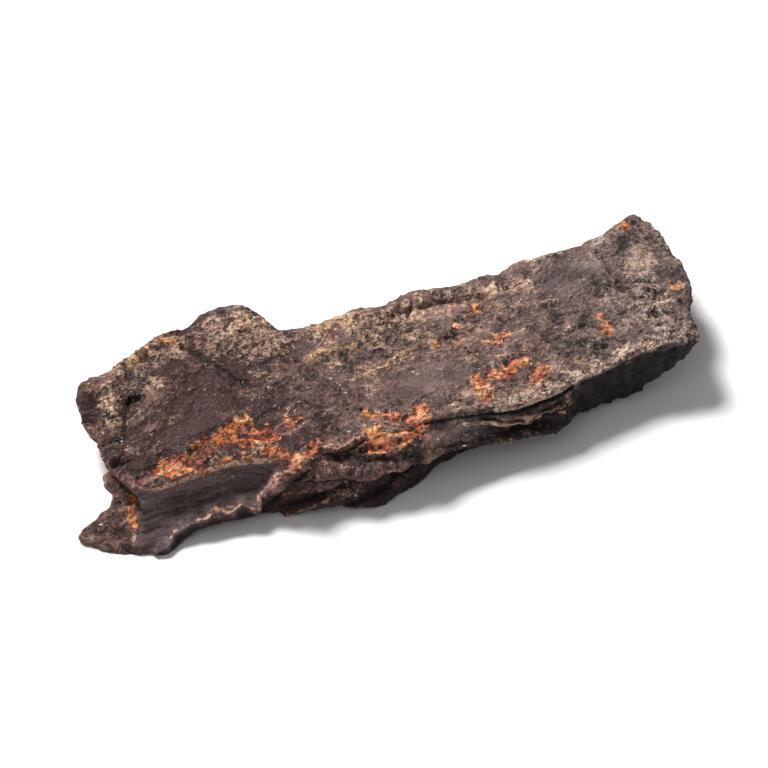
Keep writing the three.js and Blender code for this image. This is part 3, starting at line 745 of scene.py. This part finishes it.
# Painted shade on the side walls and on the side facing left; the low left end is paler.
tone_and_painted_light -= 0.2 * on_wall * (1 - 0.8 * at_left)
tone_and_painted_light += 0.35 * at_left * ramp(9, 5, plain_z)
tone_and_painted_light -= 0.25 * facing_left * high * ramp(-2, 4, curly_y)
tone_and_painted_light -= 0.3 * facing_left * ramp(-15, -19, curly_y) * ramp(-75, -72, plain_x)
# On top: spots partly of the skin's own tone, partly painted light and shade, and two darker stretches.
tone_and_painted_light += facing_up * (
    spots(TONE_AND_PAINTED_LIGHT_SPOTS, curly_x, curly_y)
    - 0.06 * ramp(10, 24, plain_x) * ramp(10, 2, plain_y) * (1 - crust)
    - 0.14 * ramp(-16, -30, plain_x)
)
# On the cut wall: painted light on its upper part, painted shade down towards the lip and in a hollow.
tone_and_painted_light += smooth * (
    0.14 * ramp(7, 11, plain_z)
    - ramp(9, 5, plain_z) * (0.15 + 0.7 * ramp(-57, -64, plain_x))
    - 0.25 * shelf(-52, -48, -42, -38, plain_x) * ramp(9, 7, plain_z)
)
# On the front wall, painted light and shade: spots, darker off the cut wall, below the lip and at the foot,
# lighter lobes.
tone_and_painted_light += facing_front * (
    spots(WALL_PAINTED_LIGHT, curly_x, curly_z)
    - 0.15 * (1 - smooth)
    - 0.25 * ramp(0, -0.8, above_lip) * ramp(-38, -42, plain_x)
    - 0.2 * ramp(5, 2.5, plain_z) * ramp(-38, -34, plain_x)
    + 0.15 * shelf(-37, -34, -22, -17, plain_x) * ramp(6, 9, plain_z)
)
tone_and_painted_light = np.clip(tone_and_painted_light, -0.3, 1)

# %% [markdown]
# ## Fine relief
#
# Up to here the surface is as smooth as the solid model. Two kinds of wrinkles cover it, both from
# noise that is zero along curly lines. One minus its size makes thin ridges, like crinkled skin. Its size
# alone makes round lumps with thin gaps between them, like crust. The rust spots are torn, so they sink
# and crumble. The cut wall carries fine parallel lines, which is noise that is stretched along the wall.

# %% Wrinkles, lumps, crumbs and striations
def ridged(points, wave, power, seed):
    """Thin curly ridges: one minus the size of smooth noise, to the given power."""
    return (1 - np.abs(noise(points, wave, seed))) ** power


def lumpy(points, wave, seed):
    """Round lumps with thin gaps: the size of smooth noise, which is zero along curly lines."""
    return np.minimum(np.abs(noise(points, wave, seed)) * 2, 1)


curled = warped(plain, 2.6, 0.9, 80)
skin = ridged(curled, 3.6, 3, 83) + 0.6 * ridged(curled, 1.9, 2.5, 84) - 0.62
lumps = lumpy(curled, 2.6, 86) + 0.6 * lumpy(curled, 1.5, 85) - 0.85
crinkle = np.clip(lerp(skin, lumps, 0.65 * crust) * 1.1, -1, 1)
coarseness = np.clip(0.62 + 0.4 * noise(plain, 8, 88) + 0.5 * crust - 0.6 * calm, 0.12, 1.3)
coarseness *= (1 - 0.9 * smooth) * (1 + 0.4 * crust * ramp(50, 60, plain_x))
coarseness *= 1 - 0.5 * facing_front * (1 - np.minimum(strands, 1))
relief = 0.75 * coarseness * crinkle
relief += (0.3 * noise(plain, 5.5, 87) + 0.12 * noise(plain, 1.2, 82)) * (1 - 0.8 * smooth)
torn = ramp(0.25, 0.6, rust + 0.35 * noise(plain, 1.8, 71)) * ramp(0.02, 0.2, rust)
tatter = 0.7 * noise(curled, 1.7, 89) + 0.5 * ridged(curled, 1.5, 2, 91) - 0.35
relief += torn * (0.7 * tatter - 0.2)
striation = noise(twisted / [9, 1, 1] + plain * [0, 0, 0.02], 0.95, 90)
relief += smooth * (0.16 * striation + 0.15 * noise(plain, 3.2, 96))

# %% Folds along the side walls, and lobes: centre, reach and rise
LOBES = [
    (-69.8, 19.4, 4, 0.9), (-66.8, 16.6, 4, 0.8), (-71.6, 15.4, 4, 0.8), (-68, 9, 4.4, 1.1),
    (-67.6, 5.4, 3, 0.6), (-71, 1.2, 3.4, 0.9), (-72.4, -4, 3.6, 0.9), (-73, -9, 3.6, 0.9),
    (-30, 26.5, 5, 0.4), (-1.5, 12, 1.8, 0.5), (66, 12.6, 3.4, 0.7), (63.6, 8.4, 2.6, 0.6), (61, 12, 2, 0.4),
    (-37.6, 4, 2, 0.4), (59, -15, 2.6, 0.4), (-57, 16, 2.6, 0.4),
]
fold = ridged(twisted / [5, 5, 1], 2.8, 2.5, 92) - 0.45
leaves = ridged(twisted / [7, 7, 1] + plain * [0, 0, 0.1], 1.6, 2, 95) - 0.5
relief += on_wall * (1 - smooth) * (1 - 0.5 * facing_front) * (0.6 * fold + 0.3 * leaves)
relief += undercut * 0.6 * (ridged(twisted / [1, 1, 4], 2.2, 3, 93) - 0.4)
relief += at_left * (1 - smooth) * 0.9 * (0.45 - nearest_seed(twisted, 4.4, 94))
relief += facing_up * spots(LOBES, curly_x, curly_y)

# %% Add the layers, the cracks and the lumps of the left end, and draw two edges in
# Lumps: y, height, reach and rise. Slim edges: place from above, reach and depth.
LEFT_LUMPS = [(-3.4, 5.2, 4.6, 2.4), (3, 9, 4, 0.7), (9, 10, 4, 0.8), (-9.4, 4.8, 1.4, -0.8)]
SLIM_EDGES = [(-41, 29, 9, 1.9), (67, 27, 9, 1.7)]
relief += facing_up * sum(rise * flake(chain, reach, curly_x, curly_y) for chain, reach, rise in TOP_FLAKES)
relief += facing_up * lines(TOP_RIDGES, curly_x, curly_y)
relief += strands + sheets - gaps - 0.3 * facing_front - cracks
relief += facing_left * spots(LEFT_LUMPS, curly_y, curly_z)
relief -= ramp(0.95, 0.6, out_z) * spots(SLIM_EDGES, plain_x, plain_y)
spread = np.percentile(relief, [2, 10, 25, 50, 75, 90, 98]).round(2)
print("relief, mm, at 2, 10, 25, 50, 75, 90 and 98 % of the points:", spread)

# %% Push the points out along the true normals
TOP_PLAY = 0.35
TOE_TIP = (-81.1, -14.3, 1.7)
TOE_PULL = (-2.6, 0.9, -0.4)
TOE_REACH = 7


def point_normals(points, quads):
    """Unit normals of the points: the cross products of the quads' diagonals, summed at their corners."""
    diagonal_a = points[quads[:, 2]] - points[quads[:, 0]]
    diagonal_b = points[quads[:, 3]] - points[quads[:, 1]]
    cross = np.cross(diagonal_a, diagonal_b)
    normals = np.zeros_like(points)
    for corner in range(4):
        for axis in range(3):
            normals[:, axis] += np.bincount(quads[:, corner], cross[:, axis], len(points))
    return normals / np.linalg.norm(normals, axis=1, keepdims=True)


def levelled(heights, limit):
    """Heights bent over towards a limit: unchanged below it, then e to the minus the excess from it."""
    excess = np.maximum(heights - limit + TOP_PLAY, 0)
    return heights - excess + TOP_PLAY * (1 - np.exp(-excess / TOP_PLAY))


def grounded(points):
    """Presses what would reach under the surface that the slab lies on flat against it."""
    return np.column_stack([points[:, :2], np.maximum(points[:, 2], 0)])


slab_points = plain + point_normals(plain, quads) * relief[:, None]
pull = hump(np.linalg.norm(plain - TOE_TIP, axis=1), TOE_REACH) ** 2
slab_points = grounded(slab_points + pull[:, None] * TOE_PULL)
slab_points[:, 2] = levelled(slab_points[:, 2], plain_z.max() + TOP_PLAY)

# %% Set the slab on the solid model's place
solid_low, solid_high = (np.array(corner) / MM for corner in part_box(NODE))
ground = grounded(plain)
shift = (solid_low + solid_high - ground.min(axis=0) - ground.max(axis=0)) / 2 * [1, 1, 0]
slab_points = (slab_points + shift) * MM
print("shift of the body, mm:", shift.round(2))

# %% [markdown]
# ## The mesh
#
# The arrays go into one mesh. The fields go with it as attributes, one number for each point, so that the
# material can read them wherever the slab is seen from.

# %% Make the slab
def make_mesh(name, points, quads, fields):
    """One smooth-shaded object from arrays of points and quads, with named fields as attributes."""
    mesh = bpy.data.meshes.new(name)
    mesh.from_pydata(points.tolist(), [], quads.tolist())
    mesh.shade_smooth()
    for field, values in fields.items():
        attribute = mesh.attributes.new(field, "FLOAT", "POINT")
        attribute.data.foreach_set("value", values.astype(np.float32))
    mesh.update()
    piece = bpy.data.objects.new(name, mesh)
    bpy.context.scene.collection.objects.link(piece)
    return piece


fields = {
    "rust": rust, "pink": pink, "crust": crust, "ochre": ochre, "calm": calm, "smooth": smooth,
    "rim_and_highlight": rim_and_highlight, "flush": flush, "painted_crack_shade": painted_crack_shade, "tone_and_painted_light": tone_and_painted_light, "relief": relief, "crinkle": crinkle,
    "painted_shade": painted_shade, "warm": warm, "cool": cool,
}
slab = make_mesh("liver_slab", slab_points, quads, fields)
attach(slab, "root")
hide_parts(NODE)

# %% [markdown]
# ## The material
#
# One dry, nearly matte surface, so one Principled shader. The colour is layered from below up: a
# grey-brown body with calm greyer skin, the striped cut wall, pale lumpy crust with specks and ochre
# tints, flushed flesh, pale rims that are partly painted highlight, painted shade in gaps and hollows,
# painted black shade, torn rust and a few bright flecks that are partly painted glints. The right
# part is a little cooler. All layers take their shade from the same curly lines and grains, which are
# also the bump, so that light and colour agree: what stands up is paler, and what lies low is painted
# dark, as shade.

# %% Colours
def linear(red, green, blue):
    """Colour given as 0 to 255 screen values, turned into the linear light values that shaders use."""
    values = [value / 255 for value in (red, green, blue)]
    return (*[v / 12.92 if v <= 0.04045 else ((v + 0.055) / 1.055) ** 2.4 for v in values], 1.0)


BODY = [linear(34, 22, 22), linear(106, 80, 73), linear(170, 136, 120)]
CRUST = [linear(54, 38, 33), linear(134, 104, 90), linear(212, 180, 154)]
WALL = [linear(42, 34, 36), linear(90, 76, 77), linear(138, 118, 114)]
RUST = [linear(102, 54, 32), linear(196, 108, 60), linear(246, 186, 124)]
DULL_RUST = [linear(80, 48, 36), linear(154, 100, 70), linear(214, 168, 130)]
RED_RUST = [linear(84, 40, 36), linear(172, 90, 70), linear(228, 156, 130)]
FLESH = [linear(66, 38, 36), linear(140, 92, 84), linear(206, 160, 144)]
CALM = [linear(64, 48, 47), linear(126, 106, 100)]
# Painted crevice shade, ochre, warm tint, painted black shade, pale rims partly painted highlight, flecks
# partly painted glints.
PAINTED_CREVICE_SHADE = linear(18, 13, 14)
OCHRE = linear(200, 152, 104)
WARM = linear(128, 70, 52)
PAINTED_BLACK = linear(15, 13, 17)
RIM_AND_HIGHLIGHT = linear(188, 146, 124)
FLECK_AND_GLINT = linear(212, 194, 182)


# %% A small kit for nodes
class NodeKit:
    """Adds nodes to one material and joins them, so that a layer of colour takes one line."""

    def __init__(self, name):
        self.material = bpy.data.materials.new(name)
        self.material.use_nodes = True
        self.tree = self.material.node_tree
        self.shader = self.tree.nodes["Principled BSDF"]
        self.place = self.add("ShaderNodeTexCoord").outputs["Object"]

    def add(self, kind, inputs=None, **settings):
        """One node with its settings, and its inputs set to values or joined to other outputs."""
        node = self.tree.nodes.new(kind)
        for key, value in settings.items():
            setattr(node, key, value)
        for key, value in (inputs or {}).items():
            if isinstance(value, bpy.types.NodeSocket):
                self.tree.links.new(value, node.inputs[key])
            else:
                node.inputs[key].default_value = value
        return node

    def field(self, name):
        """The attribute of that name."""
        return self.add("ShaderNodeAttribute", attribute_name=name).outputs["Fac"]

    def noise(self, wave, detail=3.0, roughness=0.55, place=None):
        """Noise from 0 to 1 with the given wavelength in millimetres."""
        inputs = {
            "Vector": place or self.place, "Scale": 1 / (wave * MM),
            "Detail": detail, "Roughness": roughness,
        }
        return self.add("ShaderNodeTexNoise", inputs).outputs["Fac"]

    def curled(self, wave, size):
        """The place, moved by up to half the size in millimetres, so that patterns read there curl."""
        inputs = {"Vector": self.place, "Scale": 1 / (wave * MM), "Detail": 2.0}
        colour = self.add("ShaderNodeTexNoise", inputs).outputs["Color"]
        middle = self.add("ShaderNodeVectorMath", {0: colour, 1: (0.5, 0.5, 0.5)}, operation="SUBTRACT")
        moved = {0: middle.outputs["Vector"], 1: (size * MM,) * 3, 2: self.place}
        return self.add("ShaderNodeVectorMath", moved, operation="MULTIPLY_ADD").outputs["Vector"]

    def stretched_noise(self, waves):
        """Noise from 0 to 1 with its own wavelength, in millimetres, along each axis."""
        scale = [1 / (wave * MM) for wave in waves]
        place = self.add("ShaderNodeMapping", {"Vector": self.place, "Scale": scale}).outputs["Vector"]
        return self.noise(1 / MM, 2.0, 0.5, place)

    def span(self, value, low, high, to_low=0.0, to_high=1.0):
        """Smooth step of a value from one span to another, held at the two ends."""
        inputs = {"Value": value, "From Min": low, "From Max": high, "To Min": to_low, "To Max": to_high}
        return self.add("ShaderNodeMapRange", inputs, interpolation_type="SMOOTHSTEP").outputs["Result"]

    def math(self, operation, *values, clamp=True):
        """Arithmetic on values, held between 0 and 1 unless told otherwise."""
        inputs = dict(enumerate(values))
        return self.add("ShaderNodeMath", inputs, operation=operation, use_clamp=clamp).outputs[0]

    def times(self, first, second):
        """Product of two values, held between 0 and 1."""
        return self.math("MULTIPLY", first, second)

    def total(self, *pairs, start=0.0):
        """Start value plus the sum of values, each times its weight, not held."""
        result = start
        for value, weight in pairs:
            result = self.math("MULTIPLY_ADD", value, weight, result, clamp=False)
        return result

    def line(self, value, half):
        """1 where a noise passes its middle and 0 from the half width away: thin curly lines."""
        away = self.math("SUBTRACT", value, 0.5, clamp=False)
        return self.span(self.math("ABSOLUTE", away, clamp=False), 0.0, half, 1.0, 0.0)

    def layer(self, below, above, share):
        """A colour laid over another by a share from 0 to 1."""
        inputs = {0: share, 6: below, 7: above}
        return self.add("ShaderNodeMix", inputs, data_type="RGBA").outputs[2]

    def shades(self, stops, value):
        """Dark, middle and light colour, blended as the value goes from 0 over a half to 1."""
        dark = self.layer(stops[0], stops[1], self.span(value, 0.0, 0.5))
        return self.layer(dark, stops[2], self.span(value, 0.5, 1.0))


# %% Layers of the dried surface
def dried_surface():
    """The slab's material, from the body's colour up to the flecks, then its bump and its gloss."""
    kit = NodeKit("dried_crust")
    layer, shades, span, times, total = kit.layer, kit.shades, kit.span, kit.times, kit.total
    relief, crinkle, crust, calm = (kit.field(name) for name in ("relief", "crinkle", "crust", "calm"))
    smooth, tone_and_painted_light, painted_shade, pink = (kit.field(name) for name in ("smooth", "tone_and_painted_light", "painted_shade", "pink"))
    rusty, ochre, warm, cool = (kit.field(name) for name in ("rust", "ochre", "warm", "cool"))
    place = kit.curled(1.6, 1.4)
    grain = kit.noise(0.8, 3.0, 0.6)
    blotch = kit.noise(2.8, 3.0, 0.6)
    ragged = kit.noise(1.3, 4.0, 0.7, place)
    curl = kit.line(kit.noise(2.2, 1.5, 0.5, place), 0.095)
    lump = span(kit.noise(1.3, 2.0, 0.5, place), 0.36, 0.64)
    marks = total((curl, 0.3), (lump, 0.5), (crinkle, 0.45), start=-0.43)
    coarse = kit.math("SUBTRACT", 1.0, kit.math("MAXIMUM", calm, smooth))

    # Body, calm skin and cut wall.
    even = total((tone_and_painted_light, 1.0), (blotch, 0.8), (grain, 0.85), start=-0.83)
    body = shades(BODY, total((marks, times(coarse, 0.5)), start=even))
    warmth = times(warm, 0.06)
    skin = layer(*CALM, span(total((tone_and_painted_light, 1.0), (grain, 0.4)), 0.4, 0.85))
    grey = times(calm, span(kit.noise(5.0), 0.35, 0.55, 0.3, 0.9))
    body = layer(layer(body, WARM, warmth), skin, grey)
    stripes = kit.stretched_noise((8.0, 8.0, 0.7))
    wall = shades(WALL, total((stripes, 1.5), (grain, 0.7), (blotch, 0.3), (tone_and_painted_light, 0.5), start=-0.84))
    colour = layer(layer(body, wall, smooth), WARM, warmth)

    # Pale crust, its specks and its ochre tint.
    crusty = span(total((crust, 1.0), (grain, 0.8), (marks, 0.3)), 0.6, 1.2)
    pale = total((marks, 0.85), (grain, 0.85), (blotch, 0.8), (tone_and_painted_light, 0.55), start=-0.65)
    colour = layer(colour, shades(CRUST, pale), crusty)
    speck = times(span(kit.noise(0.9, 1.0, 0.5), 0.56, 0.63, 0.0, 0.8), span(tone_and_painted_light, 0.1, 0.7, 0.35, 1.0))
    patches = times(span(kit.noise(5.0), 0.46, 0.62, 0.0, 0.5), span(tone_and_painted_light, 0.2, 0.5))
    specked = kit.math("MAXIMUM", crusty, times(coarse, patches))
    colour = layer(colour, CRUST[2], times(specked, speck))
    tint = times(ochre, span(kit.noise(1.5), 0.35, 0.6, 0.1, 0.75))
    colour = layer(colour, OCHRE, times(tint, span(pale, 0.1, 0.6, 0.2, 1.0)))

    # Flushed flesh, and pale rims that are partly painted highlight.
    flesh = shades(FLESH, total((marks, 0.7), (grain, 1.1), (blotch, 0.6), start=-0.3))
    flushed = total((kit.field("flush"), 0.8), (pink, 0.8), (ragged, 1.0), start=-0.7)
    colour = layer(colour, flesh, span(flushed, 0.1, 0.6, 0.0, 0.65))
    edge = span(total((kit.field("rim_and_highlight"), 1.0), (kit.noise(1.6, 3.0, 0.7), 1.2)), 1.1, 1.4)
    broken = span(total((grain, 0.6), (ragged, 0.5)), 0.42, 0.62)
    colour = layer(colour, RIM_AND_HIGHLIGHT, times(edge, broken))

    # Painted shade in low places, pores, cracks and gaps, painted black shade and the cooler right part.
    low = span(total((relief, -0.9), (crinkle, -0.35), (grain, -0.8), start=0.4), 0.25, 0.95, 0.0, 0.85)
    pore = span(kit.noise(1.2, 2.0, 0.6), 0.43, 0.35, 0.0, 0.7)
    deep = span(kit.field("painted_crack_shade"), 0.25, 0.8, 0.0, 0.95)
    painted_hollow_shade = kit.math("MAXIMUM", times(kit.math("MAXIMUM", low, pore), coarse), deep)
    colour = layer(layer(colour, PAINTED_CREVICE_SHADE, painted_hollow_shade), PAINTED_BLACK, times(painted_shade, 0.94))
    inputs = {"Color": colour, "Saturation": total((cool, -0.2), start=1.0)}
    colour = kit.add("ShaderNodeHueSaturation", inputs).outputs["Color"]

    # Torn rust in three tints, with holes, and flecks that are partly painted glints.
    hole = span(kit.noise(1.1, 3.0, 0.7), 0.42, 0.35, 0.0, 0.75)
    rust = span(total((rusty, 0.9), (ragged, 1.7), (lump, 0.15)), 1.14, 1.66)
    rust = times(rust, kit.math("SUBTRACT", span(rusty, 0.02, 0.12), hole))
    shade = total((blotch, 1.0), (marks, 0.6), (ragged, 1.1), (relief, 0.25), (tone_and_painted_light, 0.6), start=-0.66)
    redder = span(total((kit.noise(4.0, 2.0, 0.6), 1.0), (pink, 0.2)), 0.5, 0.62, 0.0, 0.8)
    duller = span(total((kit.noise(2.4, 2.0, 0.6), 1.0), (ochre, 0.12)), 0.5, 0.6, 0.0, 0.8)
    crumbs = layer(shades(RUST, shade), shades(RED_RUST, shade), redder)
    colour = layer(colour, layer(crumbs, shades(DULL_RUST, shade), duller), rust)
    fleck_and_glint = span(kit.noise(0.8, 1.0, 0.5, place), 0.66, 0.74)
    fleck_and_glint = times(fleck_and_glint, span(kit.noise(6.0), 0.42, 0.58, 0.0, 0.75))
    fleck_and_glint = times(fleck_and_glint, kit.math("SUBTRACT", span(tone_and_painted_light, -0.15, 0.1), painted_shade))
    kit.tree.links.new(layer(colour, FLECK_AND_GLINT, fleck_and_glint), kit.shader.inputs["Base Color"])

    # Bump and gloss.
    height = total((curl, 0.25), (lump, 0.3), (grain, 0.6), (fleck_and_glint, 0.2))
    height = total((height, total((smooth, -0.7), start=1.0)))
    height = total((times(rust, ragged), 0.8), (stripes, times(smooth, 0.25)), start=height)
    bump = kit.add("ShaderNodeBump", {"Strength": 0.8, "Distance": MM, "Height": height})
    kit.tree.links.new(bump.outputs["Normal"], kit.shader.inputs["Normal"])
    gloss = span(kit.noise(2.2), 0.4, 0.7, 0.8, 0.45)
    kit.tree.links.new(gloss, kit.shader.inputs["Roughness"])
    kit.shader.inputs["Specular IOR Level"].default_value = 0.3
    return kit.material


slab.data.materials.append(dried_surface())

# %% [markdown]
# ## Floor and light
#
# A pale floor that reaches far behind the slab, one large soft lamp high up at the back left, which rakes
# over the wrinkles, and a weak one in front. The rest is an even pale sky.

# %% Floor
FLOOR_SIZE = 6.0
corners = np.array([[-1, -1, 0], [1, -1, 0], [1, 1, 0], [-1, 1, 0]]) * FLOOR_SIZE / 2
floor = make_mesh("floor", corners, np.array([[0, 1, 2, 3]]), {})
floor_kit = NodeKit("pale_floor")
floor_kit.shader.inputs["Base Color"].default_value = linear(244, 243, 241)
floor_kit.shader.inputs["Roughness"].default_value = 0.9
floor.data.materials.append(floor_kit.material)


# %% Lamps and sky
def soft_lamp(name, size, watts, azimuth, elevation, distance):
    """A square area lamp that faces the slab from the given angles."""
    lamp = bpy.data.objects.new(name, bpy.data.lights.new(name, "AREA"))
    lamp.data.size = size
    lamp.data.energy = watts
    bpy.context.scene.collection.objects.link(lamp)
    aim(lamp, Vector((0, 0, 0)), azimuth, elevation, distance)


soft_lamp("key_lamp", size=0.35, watts=15.0, azimuth=203, elevation=57, distance=1.0)
soft_lamp("fill_lamp", size=0.9, watts=1.6, azimuth=-40, elevation=40, distance=1.2)
SKY_STRENGTH = 0.26
world = bpy.data.worlds.new("sky")
bpy.context.scene.world = world
world.use_nodes = True
sky = world.node_tree.nodes["Background"]
sky.inputs["Color"].default_value = (1, 1, 1, 1)
sky.inputs["Strength"].default_value = SKY_STRENGTH
bpy.context.scene.view_settings.view_transform = "Standard"

# %% Update the scene
bpy.context.view_layer.update()
